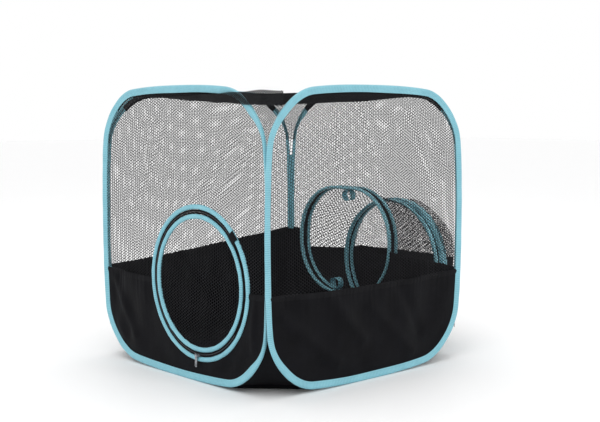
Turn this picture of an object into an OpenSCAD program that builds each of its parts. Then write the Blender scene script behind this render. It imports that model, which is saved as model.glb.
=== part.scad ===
// Pop-up mesh trap: four sprung fabric hoops joined at their upright edges, a zipped round
// door in one side and a short entry sleeve on the side opposite. Millimetres, +Z up.
// The origin is the middle of the floor panel, on the ground. The door faces -X, the sleeve +X.

/* [Cage] */
// Distance between the upright fold lines of neighbouring corners
cage_w = 444; // [420:1:480]
// Overall height of each hoop
hoop_h = 476; // [460:1:500]
// Outer radius of the hoop corners
hoop_r = 92; // [80:1:105]

/* [Binding and wire] */
// Width of the fabric binding, seen square on
binding_w = 12; // [10:0.5:14]
// Diameter of the bead that holds the wire
bead_d = 6; // [5.6:0.1:6.2]
// Thickness of the flat flange sewn to the panel
flange_t = 2.4; // [1.8:0.1:3]
// Diameter of the spring wire
wire_d = 3; // [2:0.1:3]
// Gap between the two beads of a corner
corner_gap = 2.2; // [2:0.1:3]

/* [Panels] */
// Thickness of the netting
mesh_t = 1; // [0.8:0.1:1.4]
// Thickness of the skirt cloth
skirt_t = 1.2; // [1:0.1:1.6]
// Height of the skirt at the front, left and right corners
skirt_h = 158; // [140:1:180]
// Height of the skirt at the rear corner
skirt_rear_h = 198; // [158:1:220]
// Height of the elastic hem tape
hem_h = 9; // [6:1:14]
// Thickness of the elastic hem tape
hem_t = 1.4; // [1:0.1:2]
// How far the roof netting lies below the top of the hoops
roof_drop = 20; // [14:1:24]

/* [Door] */
// Outer diameter of the fixed rim
rim_d = 250; // [244:1:262]
// Outer diameter of the door's own hoop
door_d = 223; // [216:1:232]
// Centre of the door, to the right of the side's middle
door_x = 52; // [20:1:60]
// Height of the door's centre
door_z = 160; // [142:1:170]
// Half angle of the cloth hinge, at the front edge of the door
hinge_half = 38; // [30:1:45]

/* [Sleeve] */
// Width of the oval port
port_w = 250; // [230:1:256]
// Height of the oval port
port_h = 214; // [200:1:230]
// Centre of the port, along +Y from the side's middle
port_x = 70; // [40:1:80]
// How far the lower ribbon loop is from the port's middle, along +Y
low_tie_shift = 33; // [0:1:35]
// Height of the port's centre
port_z = 182; // [170:1:200]
// Distance from the side to the middle of the sleeve's root ring
root_out = 18; // [14:1:22]
// Distance from the side to the middle of the first mouth ring
mouth_out = 62; // [54:1:80]
// Outer diameter of the mouth rings
mouth_d = 246; // [230:1:280]
// Centre of the mouth, along +Y from the side's middle
mouth_x = 5; // [-20:1:20]
// Height of the mouth rings' centre
mouth_z = 142; // [130:1:160]
// Distance between the two mouth rings
mouth_gap = 14; // [12:1:20]
// Length of the gathered net bag beyond the mouth
cuff_len = 44; // [30:1:50]

/* [Hidden] */
c = cage_w / 2;
eps = 0.02;
ring_fn = 96;

// Corner beads sit either side of the fold line, half a bead and half a gap from it
bead_off = (bead_d + corner_gap) / 2 / sqrt(2);
front_w = cage_w + bead_d;
plain_w = cage_w - 2 * bead_off + bead_d;
door_tilt = atan(2 * bead_off / (cage_w - 2 * bead_off));
seam_r = 0.7;
channel_d = wire_d + 0.2;
ferrule_d = wire_d + 1.6;
ferrule_len = 24;

// Small round rings: their binding, and the zip between the rim and the door
ring_d = 6.4;
rim_in_r = rim_d / 2 - ring_d;
coil_d = 1.4;
zip_r = (rim_in_r + door_d / 2) / 2;
tape_in = zip_r + coil_d / 2;
tape_out = zip_r - 0.75 * coil_d;
zip_start = hinge_half;
zip_sweep = 360 - 2 * hinge_half;
slider_angle = -90;
slider_shift = 1.45;
slider_r = zip_r + slider_shift;
pin_z = 5.4;
port_r = 100;

aqua = [0.49, 0.75, 0.81];
net_black = [0.10, 0.10, 0.11];
cloth_black = [0.06, 0.06, 0.07];
steel = [0.75, 0.76, 0.78];

// ---------- Rounded rectangles: flat shapes, and profiles swept round them ----------

module rounded(w, h, r) {
    square([w, h - 2 * r], center = true);
    square([w - 2 * r, h], center = true);
    for (x = [-1, 1]) for (y = [-1, 1])
        translate([x * (w / 2 - r), y * (h / 2 - r)]) circle(r = r, $fn = ring_fn);
}

// The profile's X is the distance out from the outer edge, so it lies at negative X
module sweep(w, h, r) {
    for (k = [0:3]) {
        run = k % 2 == 0 ? h - 2 * r : w - 2 * r;
        across = k % 2 == 0 ? w : h;
        rotate([0, 0, 90 * k]) {
            translate([across / 2, run / 2, 0])
                rotate([90, 0, 0]) linear_extrude(run) children();
            translate([across / 2 - r, run / 2, 0])
                rotate_extrude(angle = 90, $fn = ring_fn) translate([r, 0]) children();
        }
    }
}

module bead(d) {
    translate([-bead_d / 2, 0]) circle(d = d, $fn = 32);
}

// ---------- Placing: each side is drawn flat, X to the right and Y up as seen from outside ----

module at_side(turn, shift, out, tilt) {
    rotate([0, 0, turn])
        translate([0, -c, 0])
            rotate([90, 0, 0])
                translate([shift, 0, out])
                    rotate([0, tilt, 0])
                        children();
}

module at_front() { at_side(0, -bead_off, bead_off, 0) children(); }
module at_sleeve() { at_side(90, 0, bead_off, 0) children(); }
module at_rear() { at_side(180, 0, bead_off, 0) children(); }
module at_door() { at_side(270, 0, 0, door_tilt) children(); }

// ---------- The parts of one side ----------

module hoop_wire(w) {
    color(steel)
        translate([0, hoop_h / 2, 0])
            sweep(w, hoop_h, hoop_r) bead(wire_d);
}

// Crimped tube over the wire's joint, at the middle of the bottom edge
module ferrule_tube(d, hole) {
    translate([0, bead_d / 2, 0])
        rotate([0, 90, 0])
            difference() {
                cylinder(d = d, h = ferrule_len, center = true, $fn = 32);
                cylinder(d = hole, h = ferrule_len + 1, center = true, $fn = 32);
            }
}

module hoop_ferrule() {
    color(steel) ferrule_tube(ferrule_d, wire_d);
}

module hoop_binding(w) {
    color(aqua)
        difference() {
            translate([0, hoop_h / 2, 0])
                sweep(w, hoop_h, hoop_r)
                    difference() {
                        union() {
                            bead(bead_d);
                            translate([-binding_w, -flange_t / 2])
                                square([binding_w - bead_d / 2, flange_t]);
                        }
                        bead(channel_d);
                    }
            translate([0, bead_d / 2, 0]) rotate([0, 90, 0])
                cylinder(d = ferrule_d, h = ferrule_len, center = true, $fn = 32);
        }
}

module panel_shape(w) {
    translate([0, hoop_h / 2])
        rounded(w - 2 * binding_w, hoop_h - 2 * binding_w, hoop_r - binding_w);
}

// Everything below the hem line, whose height is left_h and right_h at the two ends
module below_hem(w, left_h, right_h, lift) {
    polygon([[-w / 2, -1], [w / 2, -1], [w / 2, right_h + lift], [-w / 2, left_h + lift]]);
}

module side_mesh(w, left_h, right_h) {
    color(net_black)
        translate([0, 0, -mesh_t / 2])
            linear_extrude(mesh_t)
                difference() {
                    panel_shape(w);
                    below_hem(w, left_h, right_h, 0);
                    children();
                }
}

module side_skirt(w, left_h, right_h) {
    color(cloth_black)
        translate([0, 0, -skirt_t / 2])
            linear_extrude(skirt_t)
                difference() {
                    intersection() {
                        panel_shape(w);
                        below_hem(w, left_h, right_h, 0);
                    }
                    children();
                }
}

// The hem tape lies on the outer face of the skirt
module side_hem(w, left_h, right_h) {
    color(cloth_black)
        translate([0, 0, skirt_t / 2])
            linear_extrude(hem_t)
                difference() {
                    intersection() {
                        panel_shape(w);
                        below_hem(w, left_h, right_h, 0);
                    }
                    below_hem(w, left_h, right_h, -hem_h);
                    children();
                }
}

// ---------- Round rings ----------

module ring_section(d) {
    circle(d = d, $fn = 32);
}

module round_ring(outer_d, d, hole) {
    rotate_extrude($fn = ring_fn)
        translate([outer_d / 2 - ring_d / 2, 0])
            difference() {
                ring_section(d);
                if (hole > 0) ring_section(hole);
            }
}

module ring_binding(outer_d) { color(aqua) round_ring(outer_d, ring_d, channel_d); }
module ring_wire(outer_d) { color(steel) round_ring(outer_d, wire_d, 0); }

// ---------- Door and zip ----------

module at_door_centre() {
    at_door() translate([door_x, door_z, 0]) children();
}

module rim_hole() {
    translate([door_x, door_z]) circle(d = rim_d, $fn = ring_fn);
}

module rim_wire() { at_door_centre() ring_wire(rim_d); }
module rim_binding() { at_door_centre() ring_binding(rim_d); }
module door_wire() { at_door_centre() ring_wire(door_d); }
module door_binding() { at_door_centre() ring_binding(door_d); }

module door_mesh() {
    color(net_black)
        at_door_centre()
            translate([0, 0, -mesh_t / 2])
                cylinder(r = door_d / 2 - ring_d, h = mesh_t, $fn = ring_fn);
}

// A flat arc of tape between two radii
module tape_arc(r_in, r_out, start, angle) {
    rotate([0, 0, start])
        rotate_extrude(angle = angle, $fn = ring_fn)
            translate([r_in, -mesh_t / 2])
                square([r_out - r_in, mesh_t]);
}

module rim_zip_tape() {
    color(cloth_black)
        at_door_centre() tape_arc(tape_in, rim_in_r, zip_start, zip_sweep);
}

module zip_coil() {
    color([0.16, 0.16, 0.17])
        at_door_centre()
            rotate([0, 0, zip_start])
                rotate_extrude(angle = zip_sweep, $fn = ring_fn)
                    translate([zip_r, 0])
                        circle(d = coil_d, $fn = 24);
}

module door_hinge_strip() {
    color(cloth_black)
        at_door_centre() tape_arc(tape_in, rim_in_r, -hinge_half, 2 * hinge_half);
}

module door_zip_tape() {
    color(cloth_black)
        at_door_centre() tape_arc(door_d / 2, tape_out, 0, 360);
}

module at_zip(angle) {
    at_door_centre() rotate([0, 0, angle]) translate([slider_r, 0, 0]) children();
}

// Folded cloth that covers the end of the zip, over the rim, with a slit at one corner
tab_w = 10;
tab_l = 14;
tab_t = 1.2;
tab_turn = 4;

module zip_end_tab() {
    color(cloth_black)
        at_zip(zip_start + tab_turn)
            translate([zip_r - slider_r, -tab_l / 2, ring_d / 2])
                difference() {
                    cube([tab_w, tab_l, tab_t]);
                    translate([tab_w - 2, 2, -1]) cube([3, 1, tab_t + 2]);
                }
}

slider_w = 4;
slider_l = 12;
slider_z = 1.2;
slider_t = 2.6;
eye_w = 5;
eye_d = 2.6;
pin_d = 1.2;
pin_play = 0.12;
ear_w = 2.6;
ear_t = 1.2;
pull_l = 19;
hole_d = 2;
ear_y = eye_w / 2 + 0.9;

module zip_slider() {
    color([0.30, 0.31, 0.33])
        at_zip(slider_angle) {
            translate([-slider_w / 2, -slider_l / 2, slider_z]) cube([slider_w, slider_l, slider_t]);
            for (s = [-1, 1])
                translate([-ear_w / 2, s * ear_y - ear_t / 2, slider_z + slider_t - eps])
                    cube([ear_w, ear_t, pin_z + 1 - slider_z - slider_t + eps]);
            translate([0, 0, pin_z]) rotate([90, 0, 0])
                cylinder(d = pin_d, h = 2 * ear_y + ear_t, center = true, $fn = 32);
        }
}

module zip_pull() {
    reach = pull_l - eye_w / 2;
    color([0.42, 0.43, 0.45])
        at_zip(slider_angle)
            translate([0, 0, pin_z])
                difference() {
                    union() {
                        rotate([90, 0, 0]) cylinder(d = eye_d, h = eye_w, center = true, $fn = 32);
                        translate([0, -eye_w / 2, 0]) cube([reach, eye_w, eye_d / 2]);
                        translate([reach, 0, 0]) cylinder(d = eye_w, h = eye_d / 2, $fn = 32);
                    }
                    rotate([90, 0, 0]) cylinder(d = pin_d + pin_play, h = eye_w + 1, center = true, $fn = 32);
                    translate([reach, 0, -1]) cylinder(d = hole_d, h = 4, $fn = 24);
                }
}

// ---------- Port and sleeve ----------

module at_port() {
    at_sleeve() translate([port_x, port_z, 0]) children();
}

module port_shape(k) { rounded(port_w - 2 * k, port_h - 2 * k, port_r - k); }

module port_hole() {
    translate([port_x, port_z]) port_shape(0);
}

module port_ring(d, hole) {
    sweep(port_w, port_h, port_r)
        translate([-ring_d / 2, 0])
            difference() {
                circle(d = d, $fn = 32);
                if (hole > 0) circle(d = hole, $fn = 32);
            }
}

module port_wire() { color(steel) at_port() port_ring(wire_d, 0); }
module port_binding() { color(aqua) at_port() port_ring(ring_d, channel_d); }
module root_wire() { color(steel) at_port() translate([0, 0, root_out]) port_ring(wire_d, 0); }
module root_binding() {
    color(aqua) at_port() translate([0, 0, root_out]) port_ring(ring_d, channel_d);
}

band_t = 1.2;

module port_zip_band() {
    k = (ring_d - band_t) / 2;
    color(cloth_black)
        at_port()
            translate([0, 0, ring_d / 2])
                linear_extrude(root_out - ring_d)
                    difference() {
                        port_shape(k);
                        port_shape(k + band_t);
                    }
}

// Ribbon loops that hang inside the root ring, for tying bait or a line
module sleeve_ties() {
    tie_w = 14;
    tie_t = 0.8;
    tie_r = 12;
    tie_y = port_h / 2 - ring_d - tie_r - 0.5;
    color(aqua)
        at_port()
            translate([0, 0, root_end - tie_w - 0.5])
                for (place = [[0, tie_y], [low_tie_shift, -tie_y]])
                    translate(place)
                        difference() {
                            cylinder(r = tie_r, h = tie_w, $fn = 48);
                            translate([0, 0, -1]) cylinder(r = tie_r - tie_t, h = tie_w + 2, $fn = 48);
                        }
}

// Rings of points down the sleeve: from the oval root ring to the round mouth ring
sleeve_steps = 5;
wall_t = 1;
root_end = root_out + ring_d / 2;
mouth_start = mouth_out - ring_d / 2;

function lerp(a, b, s) = a + (b - a) * s;

function sleeve_point(s, t, inset) =
    let (rx = lerp(port_w / 2, mouth_d / 2, s) - ring_d / 2 - inset)
    let (ry = lerp(port_h / 2, mouth_d / 2, s) - ring_d / 2 - inset)
    [lerp(port_x, mouth_x, s) + rx * cos(t),
     lerp(port_z, mouth_z, s) + ry * sin(t),
     lerp(root_end, mouth_start, s)];

// An open strip of sleeve wall between two angles
module sleeve_wall(start, end, n) {
    row = n + 1;
    rows = sleeve_steps + 1;
    skin = row * rows;
    pts = [for (inset = [-wall_t / 2, wall_t / 2]) for (j = [0:sleeve_steps]) for (i = [0:n])
        sleeve_point(j / sleeve_steps, lerp(start, end, i / n), inset)];
    grid = [for (j = [0:sleeve_steps - 1]) for (i = [0:n - 1]) [j * row + i, j * row + i + 1,
        (j + 1) * row + i + 1, (j + 1) * row + i]];
    outer = [for (q = grid) each [[q[0], q[2], q[1]], [q[0], q[3], q[2]]]];
    inner = [for (q = grid) each [[q[0] + skin, q[1] + skin, q[2] + skin],
        [q[0] + skin, q[2] + skin, q[3] + skin]]];
    near = [for (i = [0:n - 1]) each [[i, i + 1, i + 1 + skin], [i, i + 1 + skin, i + skin]]];
    last = row * sleeve_steps;
    far = [for (i = [0:n - 1]) each [[last + i, last + i + 1 + skin, last + i + 1],
        [last + i, last + i + skin, last + i + 1 + skin]]];
    lo = [for (j = [0:sleeve_steps - 1]) let (p = j * row, q = p + row)
        each [[p, q + skin, q], [p, p + skin, q + skin]]];
    hi = [for (j = [0:sleeve_steps - 1]) let (p = j * row + n, q = p + row)
        each [[p, q, q + skin], [p, q + skin, p + skin]]];
    polyhedron(pts, concat(outer, inner, near, far, lo, hi));
}

sleeve_split = 8;

module sleeve_net() {
    color(net_black) at_sleeve() sleeve_wall(-sleeve_split, 180 + sleeve_split, 28);
}

module sleeve_base() {
    color(cloth_black) at_sleeve() sleeve_wall(180 + sleeve_split, 360 - sleeve_split, 24);
}

module at_mouth(out) {
    at_sleeve() translate([mouth_x, mouth_z, out]) children();
}

module mouth_wire() { at_mouth(mouth_out) ring_wire(mouth_d); }
module mouth_binding() { at_mouth(mouth_out) ring_binding(mouth_d); }
module end_wire() { at_mouth(mouth_out + mouth_gap) ring_wire(mouth_d); }
module end_binding() { at_mouth(mouth_out + mouth_gap) ring_binding(mouth_d); }

module mouth_zip_band() {
    r = (mouth_d - ring_d + band_t) / 2;
    color(cloth_black)
        at_mouth(mouth_out + ring_d / 2)
            difference() {
                cylinder(r = r, h = mouth_gap - ring_d, $fn = ring_fn);
                translate([0, 0, -1]) cylinder(r = r - band_t, h = mouth_gap, $fn = ring_fn);
            }
}

cuff_end_r = 8;
cuff_drum = 28;
cuff_cord_d = 3;

module sleeve_cuff() {
    r = (mouth_d - ring_d) / 2;
    h = wall_t / 2;
    color(net_black)
        at_mouth(mouth_out + mouth_gap + ring_d / 2)
            rotate_extrude($fn = ring_fn)
                polygon([[r - h, 0], [r + h, 0], [r + h, cuff_drum], [cuff_end_r + h, cuff_len],
                         [cuff_end_r - h, cuff_len], [r - h, cuff_drum]]);
}

module cuff_cord() {
    color(cloth_black)
        at_mouth(mouth_out + mouth_gap + ring_d / 2 + cuff_len + cuff_cord_d / 2)
            rotate_extrude($fn = ring_fn)
                translate([cuff_end_r, 0]) circle(d = cuff_cord_d, $fn = 24);
}

// ---------- Roof, floor and corners ----------

panel_gap = 6.6;
panel_edge = c - panel_gap;
straight = plain_w / 2 - hoop_r;

module octagon(reach, half) {
    polygon([[half, -reach], [reach, -half], [reach, half], [half, reach],
             [-half, reach], [-reach, half], [-reach, -half], [-half, -reach]]);
}

module floor_panel() {
    color(cloth_black) linear_extrude(1.6) octagon(panel_edge, straight);
}

module roof_panel() {
    color(net_black)
        translate([0, 0, hoop_h - roof_drop]) linear_extrude(mesh_t) octagon(panel_edge, straight);
}

// Strip of cloth across one corner, following the rounded corners of the two hoops
gusset_steps = 8;
gusset_t = 1;

module gusset(k, up) {
    rise = hoop_h / 2 - hoop_r;
    rings = [for (i = [0:gusset_steps]) for (d = [0, gusset_t])
        let (a = lerp(4, 88, i / gusset_steps))
        let (u = straight + (hoop_r - k - d) * cos(a))
        let (z = hoop_h / 2 + up * (rise + (hoop_r - k - d) * sin(a)))
        each [[u, panel_edge, z], [panel_edge, u, z]]];
    last = 4 * gusset_steps;
    walls = [for (i = [0:gusset_steps - 1]) let (p = 4 * i, q = p + 4)
        each [[p, p + 1, q + 1, q], [p + 2, q + 2, q + 3, p + 3],
              [p, q, q + 2, p + 2], [p + 1, p + 3, q + 3, q + 1]]];
    ends = [[0, 2, 3, 1], [last, last + 1, last + 3, last + 2]];
    faces = concat(walls, ends);
    polyhedron(rings, up > 0 ? faces : [for (f = faces) [for (i = [len(f) - 1:-1:0]) f[i]]]);
}

module gussets(k, up) {
    for (turn = [0:90:270]) rotate([0, 0, turn]) gusset(k, up);
}

module roof_gussets() { color(net_black) gussets(roof_drop - 2, 1); }
module floor_gussets() { color(cloth_black) gussets(2, -1); }

// Thread seam on a fold line, between the two beads
seam_end = hoop_r + 4;

module seam(x, y) {
    color(cloth_black)
        translate([x * c, y * c, seam_end])
            cylinder(r = seam_r, h = hoop_h - 2 * seam_end, $fn = 24);
}

module front_seam() { seam(-1, -1); }
module left_seam() { seam(-1, 1); }
module right_seam() { seam(1, -1); }
module rear_seam() { seam(1, 1); }

// ---------- The four sides ----------

module door_side_wire() { at_door() hoop_wire(plain_w); }
module door_side_ferrule() { at_door() hoop_ferrule(); }
module door_side_binding() { at_door() hoop_binding(plain_w); }
module door_side_mesh() { at_door() side_mesh(plain_w, skirt_h, skirt_h) rim_hole(); }
module door_side_skirt() { at_door() side_skirt(plain_w, skirt_h, skirt_h) rim_hole(); }
module door_side_hem() { at_door() side_hem(plain_w, skirt_h, skirt_h) rim_hole(); }

module front_side_wire() { at_front() hoop_wire(front_w); }
module front_side_ferrule() { at_front() hoop_ferrule(); }
module front_side_binding() { at_front() hoop_binding(front_w); }
module front_side_mesh() { at_front() side_mesh(front_w, skirt_h, skirt_h); }
module front_side_skirt() { at_front() side_skirt(front_w, skirt_h, skirt_h); }
module front_side_hem() { at_front() side_hem(front_w, skirt_h, skirt_h); }

module rear_side_wire() { at_rear() hoop_wire(plain_w); }
module rear_side_ferrule() { at_rear() hoop_ferrule(); }
module rear_side_binding() { at_rear() hoop_binding(plain_w); }
module rear_side_mesh() { at_rear() side_mesh(plain_w, skirt_rear_h, skirt_h); }
module rear_side_skirt() { at_rear() side_skirt(plain_w, skirt_rear_h, skirt_h); }
module rear_side_hem() { at_rear() side_hem(plain_w, skirt_rear_h, skirt_h); }

module sleeve_side_wire() { at_sleeve() hoop_wire(plain_w); }
module sleeve_side_ferrule() { at_sleeve() hoop_ferrule(); }
module sleeve_side_binding() { at_sleeve() hoop_binding(plain_w); }
module sleeve_side_mesh() { at_sleeve() side_mesh(plain_w, skirt_h, skirt_rear_h) port_hole(); }
module sleeve_side_skirt() { at_sleeve() side_skirt(plain_w, skirt_h, skirt_rear_h) port_hole(); }
module sleeve_side_hem() { at_sleeve() side_hem(plain_w, skirt_h, skirt_rear_h) port_hole(); }

floor_panel();
roof_panel();
floor_gussets();
roof_gussets();
front_seam();
door_side_wire();
door_side_ferrule();
door_side_binding();
door_side_mesh();
door_side_skirt();
door_side_hem();
left_seam();
rim_wire();
rim_binding();
rim_zip_tape();
zip_coil();
zip_end_tab();
door_hinge_strip();
door_wire();
door_binding();
door_mesh();
door_zip_tape();
zip_slider();
zip_pull();
front_side_wire();
front_side_ferrule();
front_side_binding();
front_side_mesh();
front_side_skirt();
front_side_hem();
right_seam();
rear_side_wire();
rear_side_ferrule();
rear_side_binding();
rear_side_mesh();
rear_side_skirt();
rear_side_hem();
rear_seam();
sleeve_side_wire();
sleeve_side_ferrule();
sleeve_side_binding();
sleeve_side_mesh();
sleeve_side_skirt();
sleeve_side_hem();
port_wire();
port_binding();
port_zip_band();
root_wire();
root_binding();
sleeve_ties();
sleeve_net();
sleeve_base();
mouth_wire();
mouth_binding();
mouth_zip_band();
end_wire();
end_binding();
sleeve_cuff();
cuff_cord();
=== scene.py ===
from collections import namedtuple
from math import atan, cos, pi, radians, sin, sqrt, tau

import bpy
import numpy as np
from mathutils import Matrix, Vector


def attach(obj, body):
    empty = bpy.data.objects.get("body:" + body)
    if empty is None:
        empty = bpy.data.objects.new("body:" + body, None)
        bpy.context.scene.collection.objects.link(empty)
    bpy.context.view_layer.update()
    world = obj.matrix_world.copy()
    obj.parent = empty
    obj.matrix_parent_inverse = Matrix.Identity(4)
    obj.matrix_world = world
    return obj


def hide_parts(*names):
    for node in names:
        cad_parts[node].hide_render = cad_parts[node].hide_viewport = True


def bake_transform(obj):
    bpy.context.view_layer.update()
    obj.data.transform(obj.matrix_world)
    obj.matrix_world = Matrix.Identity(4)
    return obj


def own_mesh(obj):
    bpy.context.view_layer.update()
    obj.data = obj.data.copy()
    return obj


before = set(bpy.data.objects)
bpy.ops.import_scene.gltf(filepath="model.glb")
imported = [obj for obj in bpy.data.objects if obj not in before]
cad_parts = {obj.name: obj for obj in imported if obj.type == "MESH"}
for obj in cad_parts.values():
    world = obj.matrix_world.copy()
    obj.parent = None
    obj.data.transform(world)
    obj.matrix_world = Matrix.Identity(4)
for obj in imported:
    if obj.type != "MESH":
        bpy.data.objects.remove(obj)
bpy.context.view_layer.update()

# ---------- Sizes repeated from the part, in metres ----------

CAGE, HOOP_H, HOOP_R, BAND = 0.444, 0.476, 0.092, 0.012
C = CAGE / 2
BEAD_OFF = 0.0028991
FRONT_W, PLAIN_W = 0.450, 0.4442
TILT = atan(2 * BEAD_OFF / (CAGE - 2 * BEAD_OFF))
SKIRT_H, SKIRT_REAR_H, HEM_H = 0.158, 0.198, 0.009
ROOF_EDGE_Z, FLOOR_Z, PANEL_EDGE, STRAIGHT = 0.4645, 0.0008, 0.2154, 0.1301
RIM_R, DOOR_R, RING_R = 0.125, 0.1115, 0.0032
DOOR_AT = (0.052, 0.160)
ZIP_R, TAPE_IN, TAPE_OUT, HINGE = 0.11505, 0.11575, 0.1140, radians(38)
PORT_AT, PORT_W, PORT_H, PORT_R = (0.070, 0.182), 0.250, 0.214, 0.100
ROOT_OUT, MOUTH_OUT, MOUTH_GAP, MOUTH_R = 0.018, 0.062, 0.014, 0.123
MOUTH_AT = (0.005, 0.142)
CUFF_LEN, CUFF_DRUM, CUFF_END_R = 0.044, 0.028, 0.008
ROOF_HEM_Z = 0.452               # the roof hem covers the inside of the bindings above this
BEAD_HALF = 0.0030               # half the thickness of a binding over its wire
WIRE_R = 0.0015                  # the spring wire
FERRULE_R, FERRULE_HALF = 0.0023, 0.012
WIRE_AT = 0.0030                 # the wire's centre, in from a binding's outer edge
TAPE_THICK, TOOTH_PITCH = 0.0009, 0.00125
SOFT_CORNER = 0.055              # how much rounder the hoops' corners are than their arcs
BOW = 0.024                      # how far the hoops' straight runs curve, as a share


def side_frame(turn, shift, out, tilt=0.0):
    """The part's own placing of a side drawn flat: X to the right, Y up, Z outward."""
    return (Matrix.Rotation(radians(turn), 4, "Z") @ Matrix.Translation((0, -C, 0))
            @ Matrix.Rotation(pi / 2, 4, "X") @ Matrix.Translation((shift, 0, out))
            @ Matrix.Rotation(tilt, 4, "Y"))


FRONT = side_frame(0, -BEAD_OFF, BEAD_OFF)
SLEEVE = side_frame(90, 0, BEAD_OFF)
REAR = side_frame(180, 0, BEAD_OFF)
DOOR = side_frame(270, 0, 0, TILT)
IDENTITY = Matrix.Identity(4)


# ---------- Camera ----------

def make_camera():
    data = bpy.data.cameras.new("camera")
    data.lens, data.sensor_width = 63.6, 36.0
    cam = bpy.data.objects.new("camera", data)
    bpy.context.scene.collection.objects.link(cam)
    cam.location = (-1.229, -1.404, 0.430)
    azimuth, elevation = radians(47.77), radians(-5.24)
    aim = Vector((cos(azimuth) * cos(elevation), sin(azimuth) * cos(elevation), sin(elevation)))
    cam.rotation_euler = aim.to_track_quat("-Z", "Y").to_euler()
    bpy.context.scene.camera = cam


make_camera()


# ---------- Materials ----------

class Shader:
    """A Principled material, built by adding nodes and linking them by name."""

    def __init__(self, name, **fixed):
        self.mat = bpy.data.materials.new(name)
        self.mat.use_nodes = True
        self.tree = self.mat.node_tree
        self.bsdf = self.tree.nodes["Principled BSDF"]
        for key, value in fixed.items():
            self.bsdf.inputs[key.replace("_", " ")].default_value = value

    def node(self, kind, inputs=(), **settings):
        n = self.tree.nodes.new("ShaderNode" + kind)
        for key, value in settings.items():
            setattr(n, key, value)
        for key, value in dict(inputs).items():
            self.put(value, n.inputs[key])
        return n

    def put(self, value, socket):
        if isinstance(value, bpy.types.NodeSocket):
            self.tree.links.new(value, socket)
        elif isinstance(value, bpy.types.Node):
            self.tree.links.new(value.outputs[0], socket)
        else:
            socket.default_value = value

    def into(self, key, value):
        """Feeds one of the material's own inputs."""
        self.put(value, self.bsdf.inputs[key])

    def math(self, op, a, b=0.0):
        return self.node("Math", {0: a, 1: b}, operation=op).outputs[0]

    def noise(self, vector, scale, detail=3.0):
        return self.node("TexNoise", {"Vector": vector, "Scale": scale, "Detail": detail}).outputs["Fac"]

    def ramp(self, fac, stops):
        n = self.node("ValToRGB", {"Fac": fac})
        while len(n.color_ramp.elements) < len(stops):
            n.color_ramp.elements.new(0.5)
        for e, (at, colour) in zip(n.color_ramp.elements, stops):
            e.position, e.color = at, (*colour, 1)
        return n.outputs["Color"]

    def bump(self, height, strength, distance, normal=None):
        n = self.node("Bump", {"Height": height, "Strength": strength, "Distance": distance})
        if normal is not None:
            self.put(normal, n.inputs["Normal"])
        return n.outputs["Normal"]

    def local(self):
        return self.node("TexCoord").outputs["Object"]

    def strip_uv(self):
        n = self.node("SeparateXYZ", {"Vector": self.node("UVMap", uv_map="strip").outputs["UV"]})
        return n.outputs["X"], n.outputs["Y"]

    def comb(self, value, period, duty):
        """1 over a share of each period, 0 elsewhere."""
        return self.math("LESS_THAN", self.math("FRACT", self.math("DIVIDE", value, period)), duty)

    def ripple(self, value, period):
        """A sine wave from 0 to 1."""
        wave = self.math("SINE", self.math("MULTIPLY", value, tau / period))
        return self.math("ADD", self.math("MULTIPLY", wave, 0.5), 0.5)


def aqua_ribbon():
    """Woven polyester edge binding: fine cross ribs, a painted highlight along both edges and a row of
    paler stitches.
    """
    s = Shader("aqua_ribbon", Roughness=0.40, Specular_IOR_Level=0.5, Sheen_Weight=0.05)
    where = s.local()
    along, across = s.strip_uv()
    edge = s.math("ABSOLUTE", across)
    tone = s.noise(where, 38)
    base = s.ramp(tone, [(0.30, (0.125, 0.385, 0.480)), (0.55, (0.155, 0.440, 0.540)),
                         (0.80, (0.190, 0.495, 0.590))])
    stitch = s.math("MULTIPLY", s.comb(along, 0.0034, 0.68),
                    s.math("COMPARE", edge, 0.0099))
    s.tree.nodes[-1].inputs[2].default_value = 0.00045
    # Painted highlight: both edges of the tape are mixed towards a paler aqua, standing in for light on
    # its rounded edges. The stitches mixed in the same way are the thread's own paler colour.
    edge_highlight = s.math("GREATER_THAN", edge, 0.0110)
    highlight_and_stitch = s.math("MAXIMUM", s.math("MULTIPLY", edge_highlight, 0.40), s.math("MULTIPLY", stitch, 0.40))
    colour = s.node("MixRGB", {"Fac": highlight_and_stitch, "Color1": base, "Color2": (0.34, 0.68, 0.76, 1)})
    s.into("Base Color", colour)
    weave = s.math("MULTIPLY", s.ripple(along, 0.0009), s.ripple(across, 0.0011))
    fine = s.bump(weave, 0.35, 0.00012)
    soft = s.bump(s.noise(where, 95, 2.0), 0.30, 0.0012, fine)
    s.into("Normal", s.bump(stitch, 0.6, 0.0003, soft))
    s.into("Roughness", s.math("ADD", s.math("MULTIPLY", s.noise(where, 60), 0.18), 0.30))
    return s.mat


def woven(name, dark, light, roughness, thread=0.0008, sheen=0.0):
    """Plain-weave black cloth. Threads run level and upright on every side of the cage."""
    s = Shader(name, Roughness=roughness, Specular_IOR_Level=0.07, Sheen_Weight=sheen,
               Sheen_Roughness=0.5)
    where = s.local()
    xyz = s.node("SeparateXYZ", {"Vector": where})
    level = s.math("ADD", xyz.outputs["X"], xyz.outputs["Y"])
    up = xyz.outputs["Z"]
    slack = s.math("SUBTRACT", xyz.outputs["X"], xyz.outputs["Y"])
    warp, weft = s.ripple(level, thread), s.ripple(s.math("ADD", up, slack), thread)
    weave = s.math("MULTIPLY", warp, weft)
    mottle = s.noise(where, 26, 4.0)
    fac = s.math("ADD", s.math("MULTIPLY", mottle, 0.75), s.math("MULTIPLY", weave, 0.25))
    s.into("Base Color", s.ramp(fac, [(0.2, dark), (0.8, light)]))
    fine = s.bump(weave, 0.25, 0.00015)
    s.into("Normal", s.bump(s.noise(where, 34, 3.0), 0.30, 0.004, fine))
    s.into("Roughness", s.math("ADD", s.math("MULTIPLY", mottle, 0.2), roughness - 0.1))
    return s.mat


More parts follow.
